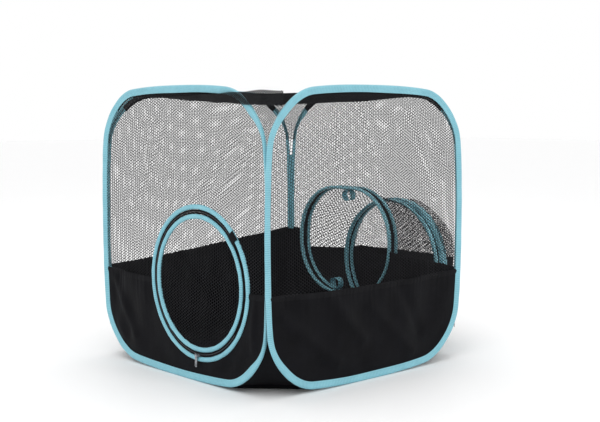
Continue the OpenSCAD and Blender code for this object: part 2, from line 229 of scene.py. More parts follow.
def netting(name, dark, light):
    """Warp-knitted net yarn: charcoal, with filament streaks and paler scuffed strands."""
    s = Shader(name, Roughness=0.62, Specular_IOR_Level=0.10)
    where = s.local()
    mix = s.math("ADD", s.math("MULTIPLY", s.noise(where, 420, 2.0), 0.6),
                 s.math("MULTIPLY", s.noise(where, 18, 2.0), 0.4))
    s.into("Base Color", s.ramp(mix, [(0.3, dark), (0.75, light)]))
    s.into("Normal", s.bump(s.noise(where, 2600, 1.0), 0.4, 0.0002))
    return s.mat


def metal(name, dark, light, roughness, scale):
    s = Shader(name, Metallic=1.0, Roughness=roughness)
    where = s.local()
    brushed = s.noise(where, scale, 4.0)
    s.into("Base Color", s.ramp(brushed, [(0.3, dark), (0.7, light)]))
    s.into("Roughness", s.math("ADD", s.math("MULTIPLY", brushed, 0.25), roughness - 0.1))
    s.into("Normal", s.bump(brushed, 0.15, 0.0002))
    return s.mat


def zip_plastic():
    s = Shader("zip_plastic", Roughness=0.34, Specular_IOR_Level=0.5)
    where = s.local()
    shades = [(0.3, (0.016, 0.016, 0.018)), (0.8, (0.045, 0.045, 0.05))]
    s.into("Base Color", s.ramp(s.noise(where, 300), shades))
    s.into("Normal", s.bump(s.noise(where, 900), 0.2, 0.0001))
    return s.mat


AQUA = aqua_ribbon()
CLOTH = woven("skirt_cloth", (0.0018, 0.0018, 0.0026), (0.0078, 0.0078, 0.0100), 0.60)
TRIM = woven("trim_tape", (0.0040, 0.0040, 0.0048), (0.0140, 0.0140, 0.0160), 0.72, 0.0006)
NET = netting("net_yarn", (0.006, 0.006, 0.007), (0.024, 0.024, 0.027))
DARK_NET = netting("roof_net_yarn", (0.004, 0.004, 0.005), (0.020, 0.020, 0.022))
STEEL = metal("spring_steel", (0.42, 0.43, 0.45), (0.66, 0.67, 0.69), 0.28, 160)
GUNMETAL = metal("slider_metal", (0.16, 0.165, 0.175), (0.52, 0.53, 0.55), 0.30, 240)
COIL = zip_plastic()


# ---------- Mesh making ----------

def piece(name, points, faces, mat, body, uv=None, smooth=True, place=IDENTITY):
    """A mesh object in the row frame, with an optional UV per face corner, riding on a body."""
    mesh = bpy.data.meshes.new(name)
    pts = np.asarray(points, float).reshape(-1, 3)
    m = np.array(place)
    pts = pts @ m[:3, :3].T + m[:3, 3]
    mesh.from_pydata(pts.tolist(), [], [list(map(int, f)) for f in faces])
    if uv is not None:
        layer = mesh.uv_layers.new(name="strip")
        layer.data.foreach_set("uv", np.asarray(uv, np.float32).ravel())
    mesh.polygons.foreach_set("use_smooth", [smooth] * len(mesh.polygons))
    mesh.materials.append(mat)
    mesh.update()
    ob = bpy.data.objects.new(name, mesh)
    bpy.context.scene.collection.objects.link(ob)
    if body:
        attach(ob, body)
    return ob


def grid_faces(n, m, wrap_n=False, wrap_m=False):
    """Quads over n rows of m points, and each corner's unwrapped row and column."""
    faces, corners = [], []
    for i in range(n if wrap_n else n - 1):
        for j in range(m if wrap_m else m - 1):
            quad = [(i, j), (i + 1, j), (i + 1, j + 1), (i, j + 1)]
            faces.append([(a % n) * m + b % m for a, b in quad])
            corners.append(quad)
    return faces, corners


def loft(name, rows, mat, body, along, across, wrap_n=False, wrap_m=False, place=IDENTITY):
    """A surface through rows of points. along and across are distances, one longer if wrapped."""
    rows = np.asarray(rows, float)
    n, m = rows.shape[:2]
    faces, corners = grid_faces(n, m, wrap_n, wrap_m)
    uv = [(along[a], across[b]) for q in corners for a, b in q]
    return piece(name, rows.reshape(-1, 3), faces, mat, body, uv, place=place)


def partial(name, rows, keep, mat, body, along, across, place=IDENTITY):
    """The part of a loft whose points are all kept, without the points that no face uses."""
    rows = np.asarray(rows, float)
    keep = np.asarray(keep).ravel()
    picked = [(f, q) for f, q in zip(*grid_faces(*rows.shape[:2])) if all(keep[i] for i in f)]
    used = np.zeros(len(keep), bool)
    used[[i for f, _ in picked for i in f]] = True
    new = np.cumsum(used) - 1
    uv = [(along[a], across[b]) for _, q in picked for a, b in q]
    return piece(name, rows.reshape(-1, 3)[used], [new[f] for f, _ in picked], mat, body, uv,
                 place=place)


def spread(length, n):
    """n distances from 0 to length."""
    return [length * i / (n - 1) for i in range(n)]


def solidify(ob, thickness, offset=0.0):
    mod = ob.modifiers.new("thickness", "SOLIDIFY")
    mod.thickness, mod.offset = thickness, offset
    return ob


def smoothstep(x):
    x = np.clip(x, 0, 1)
    return x * x * (3 - 2 * x)


def rounded_distance(u, v, w, h, r):
    """Signed distance from a rounded rectangle's outline, negative inside."""
    qx, qy = np.abs(u) - (w / 2 - r), np.abs(v) - (h / 2 - r)
    outside = np.hypot(np.maximum(qx, 0), np.maximum(qy, 0))
    return outside + np.minimum(np.maximum(qx, qy), 0) - r


def bowed(u, v):
    """Bows a side's outline a little, as sprung wire does. v runs from the ground up."""
    y = v - HOOP_H / 2
    p, q = u / C, y / (HOOP_H / 2)
    corner = SOFT_CORNER * np.abs(p * q) ** 3
    return u * (1 - BOW * q ** 2 - corner), HOOP_H / 2 + y * (1 - BOW * p ** 2 - corner)


def ridge(u, v, a, b, width, height):
    """A soft crease from a to b."""
    du, dv = b[0] - a[0], b[1] - a[1]
    t = np.clip(((u - a[0]) * du + (v - a[1]) * dv) / (du * du + dv * dv), 0, 1)
    d = np.hypot(u - a[0] - t * du, v - a[1] - t * dv)
    return height * np.exp(-(d / width) ** 2)


def pinch(u, v, a, b, width, strength):
    """Draws the cells of a net in towards a crease from a to b, so that it looks darker there."""
    du, dv = b[0] - a[0], b[1] - a[1]
    run = sqrt(du * du + dv * dv)
    nu, nv = -dv / run, du / run
    t = np.clip(((u - a[0]) * du + (v - a[1]) * dv) / (run * run), 0, 1)
    off = (u - a[0]) * nu + (v - a[1]) * nv
    d = np.hypot(u - a[0] - t * du, v - a[1] - t * dv)
    shift = -strength * off * np.exp(-(d / width) ** 2)
    return u + nu * shift, v + nv * shift


def waves(u, v, seed, size, count=9):
    """Smooth seeded unevenness from -1 to 1 or so."""
    r = np.random.default_rng(seed)
    total = 0
    for _ in range(count):
        turn, phase, k = r.uniform(0, pi), r.uniform(0, tau), tau / (size * r.uniform(0.6, 1.7))
        total = total + np.sin((u * cos(turn) + v * sin(turn)) * k + phase)
    return total / sqrt(count)


def rounded_path(w, h, r, step=0.004, arc=26):
    """Points, outward directions and distances round a rounded rectangle centred on 0, 0."""
    pts, out = [], []
    for k in range(4):
        turn = k * pi / 2
        run, across = (h, w) if k % 2 == 0 else (w, h)
        count = max(2, round((run - 2 * r) / (step * 2.5)))
        local = [(across / 2, -run / 2 + r + (run - 2 * r) * i / count, 0.0) for i in range(count)]
        local += [(across / 2 - r + r * cos(a), run / 2 - r + r * sin(a), a)
                  for a in (pi / 2 * i / arc for i in range(arc))]
        for x, y, a in local:
            pts.append((x * cos(turn) - y * sin(turn), x * sin(turn) + y * cos(turn)))
            out.append((cos(turn + a), sin(turn + a)))
    pts = np.array(pts)
    gaps = np.linalg.norm(np.roll(pts, -1, 0) - pts, axis=1)
    return pts, np.array(out), np.concatenate([[0], np.cumsum(gaps)])


# ---------- The four sides' own values ----------

def no_hole(u, v):
    """A distance from a hole that is never reached, for the sides with none."""
    return np.full(np.shape(u), 1.0)


def door_hole(u, v):
    return np.hypot(u - DOOR_AT[0], v - DOOR_AT[1]) - RIM_R


def port_hole(u, v):
    return rounded_distance(u - PORT_AT[0], v - PORT_AT[1], PORT_W, PORT_H, PORT_R)


Side = namedtuple("Side", "body place w left_h right_h sag hole")
SIDES = {
    "front": Side("front_side", FRONT, FRONT_W, SKIRT_H, SKIRT_H, 0.004, no_hole),
    "door": Side("door_side", DOOR, PLAIN_W, SKIRT_H, SKIRT_H, 0.003, door_hole),
    "rear": Side("rear_side", REAR, PLAIN_W, SKIRT_REAR_H, SKIRT_H, 0.002, no_hole),
    "sleeve": Side("sleeve_side", SLEEVE, PLAIN_W, SKIRT_H, SKIRT_REAR_H, 0.002, port_hole),
}


# ---------- Nets ----------


def honeycomb(inside, low, high, pitch, strand, stretch=1.0):
    """Flat strands of a six-sided net as points, triangles and quads in the plane."""
    a = pitch / sqrt(3)
    cols = int((high[0] - low[0]) / (1.5 * a)) + 3
    rows = int((high[1] - low[1]) / (sqrt(3) * a * stretch)) + 3
    k, m = np.meshgrid(np.arange(cols), np.arange(rows), indexing="ij")
    ax = low[0] + 1.5 * a * k
    ay = low[1] + sqrt(3) * a * (m + (k % 2) / 2) * stretch
    bx, by = ax + a, ay
    size = cols * rows
    a_in, b_in = inside(ax, ay).ravel(), inside(bx, by).ravel()
    number = k * rows + m
    up, down = m + (k % 2), m - 1 + (k % 2)
    far = np.minimum(k + 1, cols - 1) * rows
    reach = strand / sqrt(3)

    def corners(x, y, angles):
        return np.stack([np.stack([x + reach * cos(t), y + reach * sin(t)], -1) for t in angles], 2)

    thirds = [pi / 3, pi, 5 * pi / 3]
    pts_a = corners(ax, ay, thirds).reshape(-1, 2)
    pts_b = corners(bx, by, [2 * pi / 3, 4 * pi / 3, 0]).reshape(-1, 2)
    pts = np.concatenate([pts_a, pts_b])
    off = 3 * size
    here = number.ravel()
    quads = []
    ok = a_in[here] & b_in[here]
    n = here[ok]
    quads.append(np.stack([3 * n + 2, off + 3 * n + 1, off + 3 * n, 3 * n], 1))
    for row, (b1, a1, a2, b2) in ((up, (2, 2, 1, 0)), (down, (1, 1, 0, 2))):
        other = (far + np.clip(row, 0, rows - 1)).ravel()
        valid = ((row >= 0) & (row < rows) & (k + 1 < cols)).ravel()
        ok = valid & b_in[here] & a_in[other]
        n, o = here[ok], other[ok]
        quads.append(np.stack([off + 3 * n + b1, 3 * o + a1, 3 * o + a2, off + 3 * n + b2], 1))
    quads = np.concatenate(quads)
    used = np.zeros(len(pts), bool)
    used[quads.ravel()] = True
    joint = used.reshape(-1, 3).any(1)
    used = np.repeat(joint, 3)
    base = np.nonzero(joint)[0] * 3
    tris = base[:, None] + np.arange(3)
    new = np.cumsum(used) - 1
    return pts[used], new[tris], new[quads]


def net_piece(name, flat, shape, mat, body, place=IDENTITY, depth=0.0):
    """Bends a flat net through shape(u, v), giving x, y, z, and gives deep strands their walls."""
    pts, tris, quads = flat
    xyz = np.stack(shape(pts[:, 0], pts[:, 1]), -1)
    faces = tris.tolist() + quads.tolist()
    if depth:
        n = len(xyz)
        xyz = np.concatenate([xyz, xyz - np.array([0, 0, depth])])
        a, b, c, d = quads.T
        walls = np.concatenate([np.stack([a, a + n, b + n, b], 1), np.stack([c, c + n, d + n, d], 1)])
        faces += walls.tolist()
    return piece(name, xyz, faces, mat, body, smooth=False, place=place)


PITCH, STRAND = 0.0047, 0.00094
INSET = 0.003                    # how far cloth reaches under the binding


def hem_line(side, u, sag):
    """Height of a skirt's top edge at u: a slope from corner to corner, less the sag between."""
    t = u / side.w + 0.5
    return side.left_h + (side.right_h - side.left_h) * t - sag * (1 - (2 * u / side.w) ** 2)


def side_net(name, side, creases, seed):
    """A side's net, from under its hem tape up to its binding, with creases drawn into it."""
    def inside(u, v):
        ok = rounded_distance(u, v - HOOP_H / 2, side.w, HOOP_H, HOOP_R) < -INSET
        ok &= v > hem_line(side, u, side.sag) - 0.004
        return ok & (side.hole(u, v) > -0.003)

    def shape(u, v):
        edge = -rounded_distance(u, v - HOOP_H / 2, side.w, HOOP_H, HOOP_R) - BAND
        above = v - hem_line(side, u, side.sag)
        calm = smoothstep(edge / 0.03) * smoothstep(above / 0.03) * smoothstep(side.hole(u, v) / 0.03)
        lift = sum(ridge(u, v, *crease) for crease in creases)
        lift = lift + 0.0006 * waves(u, v, seed, 0.13)
        pu, pv = u, v
        for a, b, width, _ in creases:
            pu, pv = pinch(pu, pv, a, b, width * 1.2, 0.5)
        bu, bv = bowed(u + (pu - u) * calm, v + (pv - v) * calm)
        return bu, bv, lift * calm

    flat = honeycomb(inside, (-side.w / 2, 0.1), (side.w / 2, HOOP_H), PITCH, STRAND, 1.06)
    ob = net_piece(name, flat, shape, NET, side.body, side.place)
    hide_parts(f"{side.body}_mesh")
    return ob


# ---------- Skirts ----------

def side_skirt(name, side, creases, seed, gather):
    """Cloth from the bottom binding up to a gathered hem, with soft folds, and the hem on it."""
    cols, rows = 190, 64
    w, hole = side.w, side.hole
    inner_w, inner_r = w - 2 * INSET, HOOP_R - INSET
    u = np.linspace(-inner_w / 2, inner_w / 2, cols)
    over = np.clip(np.abs(u) - (inner_w / 2 - inner_r), 0, inner_r)
    low = INSET + inner_r - np.sqrt(np.maximum(inner_r ** 2 - over ** 2, 0))
    high = hem_line(side, u, side.sag)
    t = np.linspace(0, 1, rows)
    uu = np.repeat(u[:, None], rows, 1)
    vv = low[:, None] + (high - low)[:, None] * t[None, :]
    d = hole(uu, vv)
    eps = 0.0005
    gu = (hole(uu + eps, vv) - d) / eps
    gv = (hole(uu, vv + eps) - d) / eps
    reach = 0.0055
    inner = d < -0.0015
    keep = d > -reach
    push = np.where(inner & keep, -0.0015 - d, 0)
    uu, vv = uu + gu * push, vv + gv * push

    def lift(a, b):
        edge = -rounded_distance(a, b - HOOP_H / 2, w, HOOP_H, HOOP_R) - BAND
        calm = smoothstep(edge / 0.022) * smoothstep(hole(a, b) / 0.03)
        top = hem_line(side, a, side.sag) - b
        gathers = (np.sin(a * tau / 0.0125 + 2.6 * np.sin(a * 47 + seed) + 1.7 * np.sin(a * 113))
                   + 0.5 * np.sin(a * tau / 0.0073 + 2.0 * np.sin(a * 71 + seed)))
        out = gather * gathers * np.exp(-np.maximum(top, 0) / 0.035)
        out = out + 0.0021 * waves(a, b * 0.45, seed, 0.075)
        out = out + sum(ridge(a, b, *crease) for crease in creases)
        return out * calm

    bu, bv = bowed(uu, vv)
    ob = partial(name, np.stack([bu, bv, lift(uu, vv)], -1), keep, CLOTH, side.body,
                 u, t, side.place)
    solidify(ob, 0.0007)
    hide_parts(f"{side.body}_skirt")

    # Hem tape: a flat loop of tape over the cloth's top edge
    profile = [(-HEM_H, 0.0007), (-HEM_H * 0.7, 0.0013), (-HEM_H * 0.3, 0.0014), (-0.0004, 0.0011),
               (0.0004, 0.0), (-0.0004, -0.0011), (-HEM_H * 0.3, -0.0014), (-HEM_H * 0.7, -0.0013),
               (-HEM_H, -0.0007)]
    hu = np.linspace(-inner_w / 2, inner_w / 2, 420)
    hv = hem_line(side, hu, side.sag)
    hem_rows, keep = [], []
    for a, b in zip(hu, hv):
        line = []
        for dv, dw in profile:
            x, y = bowed(a, b + dv)
            z = float(lift(np.array(a), np.array(b + dv)))
            line.append((x, y, z + dw))
        hem_rows.append(line)
        keep.append([float(hole(np.array(a), np.array(b - HEM_H / 2))) > -0.003] * len(profile))
    across = [p[0] + 0.0001 * (k > 4) for k, p in enumerate(profile)]
    hem = partial(name.replace("cloth", "hem_tape"), hem_rows, keep, TRIM, side.body,
                  hu, across, side.place)
    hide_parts(f"{side.body}_hem")
    return ob


# ---------- Hoop bindings ----------

def band_profile(half):
    """Half the section of folded tape over a wire: distance in from the outer edge, and height."""
    return [(0.0000, 0.0), (0.0003, half * 0.50), (0.0012, half * 0.86), (0.0028, half),
            (0.0048, half * 0.93), (0.0066, half * 0.70), (0.0084, half * 0.52),
            (0.0104, half * 0.46), (0.0117, half * 0.40), (0.0120, half * 0.20)]


def hoop_band(label, seed, joint_at, narrow):
    """Tape folded over a side's hoop, and the spring wire in it. joint_at is the tape's lap, as a
    share of the way round. narrow is the upright that has narrower tape (-1 or 1), and by how much."""
    side = SIDES[label]
    w = side.w
    pts, out, dist = rounded_path(w, HOOP_H, HOOP_R)
    upper = band_profile(BEAD_HALF)
    lower = [(a, -b) for a, b in upper[::-1]]
    profile = upper[1:] + lower[:-1] + [(0.0, 0.0)]
    across = [a for a, _ in upper[1:]] + [-a for a, _ in lower[:-1]] + [0.0, 0.0003]
    phases = np.random.default_rng(seed).uniform(0, tau, 6)
    total = dist[-1]
    rows, wire = [], []
    for i, (p, o) in enumerate(zip(pts, out)):
        s = dist[i] / total * tau
        wob = 0.00020 * (sin(7 * s + phases[0]) + sin(13 * s + phases[1]))
        puff = 1 + 0.05 * sin(23 * s + phases[2]) + 0.05 * sin(41 * s + phases[3])
        gap = abs((dist[i] - joint_at * total + total / 2) % total - total / 2)
        lap = 1 + 0.16 * (gap < 0.009)
        sideways = max(0.0, p[0] / (w / 2) * narrow[0])
        slim = 1 - (1 - narrow[1]) * float(smoothstep((sideways - 0.88) / 0.12))
        u, v = bowed(p[0], p[1] + HOOP_H / 2)
        row = []
        for a, b in profile:
            depth = a * slim + wob * (a / BAND)
            row.append((u - o[0] * depth, v - o[1] * depth, b * puff * lap))
        rows.append(row)
        thick = FERRULE_R if gap < FERRULE_HALF else WIRE_R
        depths = [WIRE_AT * slim + thick * cos(tau * j / 8) for j in range(8)]
        wire.append([(u - o[0] * a, v - o[1] * a, thick * sin(tau * j / 8))
                     for j, a in enumerate(depths)])
    ob = loft(f"{label}_hoop_band", rows, AQUA, side.body, dist, across, True, True,
              side.place)
    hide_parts(f"{side.body}_binding")
    core = loft(f"{label}_hoop_wire", wire, STEEL, side.body, dist,
                [0.0012 * j for j in range(9)], True, True, side.place)
    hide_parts(f"{side.body}_wire", f"{side.body}_ferrule")


# ---------- Round rings ----------

def ring_band(name, body, node, place, pts, out, dist, flat=(RING_R, RING_R), seed=1):
    """Tape folded round a wire ring and sewn; flat is its half width outward and along the axis."""
    n = 16
    section = [(cos(t), sin(t)) for t in (tau * i / n for i in range(n))]
    across = [max(flat) * t for t in (tau * i / n for i in range(n + 1))]
    phase = np.random.default_rng(seed).uniform(0, tau, 3)
    total = dist[-1]
    rows = []
    for i, (p, o) in enumerate(zip(pts, out)):
        s = dist[i] / total * tau
        fat = 1 + 0.035 * sin(19 * s + phase[0]) + 0.03 * sin(31 * s + phase[1])
        lap = 1.07 if abs(s - 4.0) < 0.05 else 1.0
        k, deep = flat[0] * 0.96 * fat * lap, flat[1] * 0.96 * fat * lap
        rows.append([(p[0] + o[0] * k * a, p[1] + o[1] * k * a, deep * b) for a, b in section])
    ob = loft(name, rows, AQUA, body, dist, across, True, True, place)
    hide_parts(node)


def circle_path(r, centre=(0, 0), count=144):
    t = np.linspace(0, tau, count, endpoint=False)
    out = np.stack([np.cos(t), np.sin(t)], -1)
    return out * r + np.array(centre), out, np.linspace(0, tau * r, count + 1)


def port_path(inset):
    pts, out, dist = rounded_path(PORT_W - 2 * inset, PORT_H - 2 * inset, PORT_R - inset, 0.002, 30)
    return pts, out, dist


def at(place, x, y, z):
    return place @ Matrix.Translation((x, y, z))


DOOR_C = at(DOOR, DOOR_AT[0], DOOR_AT[1], 0)


def flat_arc(name, body, node, r_in, r_out, start, sweep):
    """A flat arc of zip tape with a slight ripple."""
    n, m = max(12, int(sweep / tau * 260)), 5
    rows = []
    for i in range(n + 1):
        t = start + sweep * i / n
        row = []
        for j in range(m):
            r = r_in + (r_out - r_in) * j / (m - 1)
            z = 0.0003 * sin(t * 37 + j * 0.6) * sin(pi * j / (m - 1))
            row.append((r * cos(t), r * sin(t), z))
        rows.append(row)
    along = [r_out * sweep * i / n for i in range(n + 1)]
    ob = loft(name, rows, TRIM, body, along, spread(r_out - r_in, m), place=DOOR_C)
    solidify(ob, TAPE_THICK)
    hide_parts(node)


def teeth(name, body, node, r, start, sweep):
    """A coil zip's teeth: small rounded links across a circle."""
    link = [(-0.0007, -0.00045), (-0.0004, -0.0007), (0.0004, -0.0007), (0.0007, -0.00045),
            (0.0007, 0.00045), (0.0004, 0.0007), (-0.0004, 0.0007), (-0.0007, 0.00045)]
    points, faces = [], []
    count = int(r * sweep / TOOTH_PITCH)
    for i in range(count):
        t = start + sweep * (i + 0.5) / count
        half = 0.00042 / r
        base = len(points)
        for k, dt in enumerate((-half, half)):
            lean = 0.0002 * (1 if k else -1)
            for a, b in link:
                rr = r + a + lean
                points.append((rr * cos(t + dt), rr * sin(t + dt), b))
        n = len(link)
        faces.append([base + j for j in range(n)][::-1])
        faces.append([base + n + j for j in range(n)])
        faces += [[base + j, base + (j + 1) % n, base + n + (j + 1) % n, base + n + j] for j in range(n)]
    ob = piece(name, points, faces, COIL, body, smooth=False, place=DOOR_C)
    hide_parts(node)


# ---------- The four sides ----------

hoop_band("front", 3, 0.86, (-1, 0.80))
hoop_band("door", 5, 0.87, (1, 0.50))
hoop_band("rear", 8, 0.60, (-1, 0.50))
hoop_band("sleeve", 9, 0.40, (1, 0.50))

# A crease: from, to, half width, and height out of the cloth
FRONT_CREASES = [((0.090, 0.452), (0.160, 0.300), 0.011, 0.0042),
                 ((0.118, 0.440), (0.182, 0.330), 0.007, -0.0030),
                 ((-0.020, 0.440), (0.005, 0.380), 0.008, 0.0028),
                 ((-0.176, 0.420), (-0.156, 0.320), 0.009, 0.0030),
                 ((-0.100, 0.450), (-0.090, 0.360), 0.010, -0.0020)]
DOOR_CREASES = [((-0.065, 0.400), (-0.146, 0.270), 0.013, 0.0036),
                ((-0.030, 0.440), (-0.120, 0.300), 0.009, -0.0026),
                ((0.180, 0.395), (0.090, 0.305), 0.012, 0.0034),
                ((-0.185, 0.380), (-0.190, 0.260), 0.008, 0.0024)]
BACK_CREASES = [((-0.08, 0.43), (0.03, 0.27), 0.012, 0.0030),
                ((0.14, 0.42), (0.09, 0.30), 0.010, -0.0026)]

NETS = {label: side_net(f"{label}_side_net", SIDES[label], creases, seed)
        for label, creases, seed in (("front", FRONT_CREASES, 11), ("door", DOOR_CREASES, 12),
                                     ("rear", BACK_CREASES, 13), ("sleeve", BACK_CREASES, 14))}

SKIRT_FRONT = [((-0.10, 0.150), (-0.02, 0.070), 0.014, 0.0040),
               ((0.07, 0.148), (0.12, 0.060), 0.013, -0.0034),
               ((-0.19, 0.120), (-0.08, 0.040), 0.012, 0.0030),
               ((0.00, 0.120), (0.10, 0.030), 0.012, 0.0026)]
SKIRT_DOOR = [((-0.19, 0.140), (-0.13, 0.050), 0.011, 0.0036),
              ((0.185, 0.140), (0.195, 0.070), 0.010, 0.0026)]
SKIRT_BACK = [((-0.10, 0.180), (-0.08, 0.040), 0.010, 0.0040),
              ((0.03, 0.170), (0.00, 0.040), 0.011, -0.0036),
              ((0.12, 0.150), (0.14, 0.040), 0.010, 0.0034)]

SKIRTS = {label: side_skirt(f"{label}_skirt_cloth", SIDES[label], creases, seed, gather)
          for label, creases, seed, gather in (("front", SKIRT_FRONT, 21, 0.0003),
                                               ("door", SKIRT_DOOR, 22, 0.0004),
                                               ("rear", SKIRT_BACK, 23, 0.0016),
                                               ("sleeve", SKIRT_BACK, 24, 0.0012))}


def lining(name, side, top=False):
    """The skirt's cloth, or the roof's hem, turned in over the inner face of the binding."""
    pts, out, dist = rounded_path(side.w, HOOP_H, HOOP_R)
    upper = np.array(band_profile(BEAD_HALF))
    heights = pts[:, 1] + HOOP_H / 2
    if top:
        covered = heights > ROOF_HEM_Z
    else:
        covered = heights < hem_line(side, pts[:, 0], 0.0) - 0.004
    first = next(i for i in range(len(pts)) if covered[i] and not covered[i - 1])
    order = [(first + i) % len(pts) for i in range(int(covered.sum()))]
    depths = np.linspace(0.0012, 0.0135, 8)
    rows = []
    for i in order:
        u, v = bowed(pts[i][0], heights[i])
        rows.append([(u - out[i][0] * a, v - out[i][1] * a,
                      -float(np.interp(a, upper[:, 0], upper[:, 1])) * 1.12 - 0.0005) for a in depths])
    along = [(dist[i] - dist[first]) % dist[-1] for i in order]
    loft(name, rows, CLOTH, side.body, along, depths, place=side.place)


for label, side in SIDES.items():
    lining(f"{label}_lining", side)
for label, side in SIDES.items():
    lining(f"{label}_roof_hem", side, True)


def corner_lining(name, body, sx, sy, top):
    """Cloth across the inside of a corner, from the floor corner up to the hem."""
    n, m = 30, 7
    near, far, low = 0.2130, 0.2212, 0.055
    rows = []
    for i in range(n):
        z = low + (top - low) * i / (n - 1)
        row = []
        for j in range(m):
            q = j / (m - 1)
            ripple = 0.0005 * sin(i * 0.9 + q * 4) * sin(pi * q)
            x, y = near + (far - near) * q - ripple, far + (near - far) * q - ripple
            row.append((sx * x, sy * y, z))
        rows.append(row)
    ob = loft(name, rows, CLOTH, body, [0.004 * i for i in range(n)],
              [0.0017 * j for j in range(m)])
    if not body:
        if sx < 0:
            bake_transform(ob)
        else:
            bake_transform(ob)


corner_lining("left_corner_lining", None, -1, 1, SKIRT_H - 0.003)
corner_lining("right_corner_lining", None, 1, -1, SKIRT_H - 0.003)
corner_lining("rear_corner_lining", "rear_side", 1, 1, SKIRT_REAR_H - 0.003)


# ---------- Door ----------

DOOR_TAPE, PORT_TAPE, MOUTH_TAPE = (0.0041, 0.0032), (0.0031, 0.0046), (0.0031, 0.0052)
rim = circle_path(RIM_R - 0.0022)
door_ring = circle_path(DOOR_R - 0.0041)
ring_band("rim_ring_band", "door_side", "rim_binding", DOOR_C, *rim, DOOR_TAPE, 31)
ring_band("door_ring_band", "door", "door_binding", DOOR_C, *door_ring, DOOR_TAPE, 32)
RIM_IN = RIM_R - 2 * RING_R
flat_arc("rim_tape", "door_side", "rim_zip_tape", TAPE_IN, RIM_IN, HINGE, tau - 2 * HINGE)
flat_arc("hinge_cloth", "door_side", "door_hinge_strip", TAPE_IN, RIM_IN, -HINGE, 2 * HINGE)
flat_arc("door_tape", "door", "door_zip_tape", DOOR_R, TAPE_OUT, 0, tau)
teeth("zip_teeth", "door_side", "zip_coil", ZIP_R, HINGE, tau - 2 * HINGE)


def door_net_piece():
    reach = DOOR_R - RING_R

    def shape(u, v):
        r = np.hypot(u, v)
        calm = smoothstep((reach - r) / 0.03)
        lift = 0.0012 * waves(u, v, 41, 0.07) + ridge(u, v, (-0.06, 0.05), (0.05, -0.04), 0.010, 0.0018)
        return u, v, lift * calm

    flat = honeycomb(lambda u, v: np.hypot(u, v) < reach, (-reach, -reach), (reach, reach),
                     PITCH, STRAND, 1.06)
    ob = net_piece("door_net", flat, shape, NET, "door", DOOR_C)
    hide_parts("door_mesh")


door_net_piece()


def end_tab():
    """Folded cloth over the zip's end, bent over the rim."""
    angle = HINGE + radians(4)
    place = DOOR_C @ Matrix.Rotation(angle, 4, "Z") @ at(IDENTITY, ZIP_R + 0.00145, 0, 0)
    n, m = 14, 9
    rows = []
    for i in range(n):
        x = -0.0022 + 0.0132 * i / (n - 1)
        row = []
        for j in range(m):
            y = -0.0088 + 0.0176 * j / (m - 1)
            waist = 1 - 0.06 * sin(pi * i / (n - 1))
            z = (RING_R + 0.0006) * (1 - 0.55 * max(0, (x - 0.006) / 0.005) ** 2) + 0.00015 * sin(j * 2.1)
            row.append((x, y * waist, z))
        rows.append(row)
    ob = loft("zip_end_cloth", rows, TRIM, "door_side",
              spread(0.0100, n), spread(0.014, m),
              place=place)
    solidify(ob, TAPE_THICK)
    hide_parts("zip_end_tab")


end_tab()


# ---------- Port and sleeve ----------

PORT_C = at(SLEEVE, PORT_AT[0], PORT_AT[1], 0)
MOUTH_C = at(SLEEVE, MOUTH_AT[0], MOUTH_AT[1], MOUTH_OUT)
ring_band("port_ring_band", "sleeve_side", "port_binding", PORT_C, *port_path(RING_R), PORT_TAPE, 51)
ring_band("root_ring_band", "sleeve_side", "root_binding", at(PORT_C, 0, 0, ROOT_OUT),
          *port_path(RING_R), PORT_TAPE, 52)
mouth_ring = circle_path(MOUTH_R - RING_R)
ring_band("mouth_ring_band", "mouth", "mouth_binding", MOUTH_C, *mouth_ring, MOUTH_TAPE, 53)
ring_band("end_ring_band", "mouth", "end_binding", at(MOUTH_C, 0, 0, MOUTH_GAP), *mouth_ring,
          MOUTH_TAPE, 54)


def zip_band(name, body, node, place, path, height):
    """A short wall of zip tape between two rings, drawn in at its middle, with its closed coil."""
    pts, out, dist = path
    m = 9
    rows = []
    for i, (p, o) in enumerate(zip(pts, out)):
        row = []
        for j in range(m):
            t = j / (m - 1)
            pull = 0.0008 * sin(pi * t) + 0.00025 * sin(dist[i] * 210 + 3 * t)
            coil = 0.0007 if j == m // 2 else 0.0
            row.append((p[0] - o[0] * (pull - coil), p[1] - o[1] * (pull - coil), height * t))
        rows.append(row)
    ob = loft(name, rows, TRIM, body, dist, spread(height, m), True,
              place=place)
    solidify(ob, TAPE_THICK)
    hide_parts(node)


zip_band("port_zip_cloth", "sleeve_side", "port_zip_band", at(PORT_C, 0, 0, RING_R),
         port_path(RING_R), ROOT_OUT - 2 * RING_R)
zip_band("mouth_zip_cloth", "mouth", "mouth_zip_band", at(MOUTH_C, 0, 0, RING_R), mouth_ring,
         MOUTH_GAP - 2 * RING_R)


def ribbon_loops():
    """Two loops of ribbon that hang inside the root ring, with pressed folds."""
    points, faces, uv = [], [], []
    width, r, n, m = 0.014, 0.0118, 48, 7
    for s in (-1, 1):
        base = len(points)
        cx, cy = 0.033 * (s < 0), s * (PORT_H / 2 - 2 * RING_R - 0.0125)
        for i in range(n):
            t = tau * i / n
            squeeze = 1 - 0.20 * abs(sin(t)) * (sin(t) * s < 0)
            for j in range(m):
                z = -width / 2 + width * j / (m - 1)
                x = r * cos(t) + 0.0006 * sin(3 * t + j)
                y = r * sin(t) * squeeze
                points.append((cx + x, cy + y, z))
        f, q = grid_faces(n, m, True)
        faces += [[k + base for k in face] for face in f]
        uv += [(r * tau * a / n, width * b / (m - 1) - width / 2) for quad in q for a, b in quad]
    ob = piece("ribbon_loops", points, faces, AQUA, "sleeve_side", uv,
               place=at(PORT_C, 0, 0, ROOT_OUT - 0.0043))
    solidify(ob, 0.0007)
    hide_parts("sleeve_ties")


ribbon_loops()


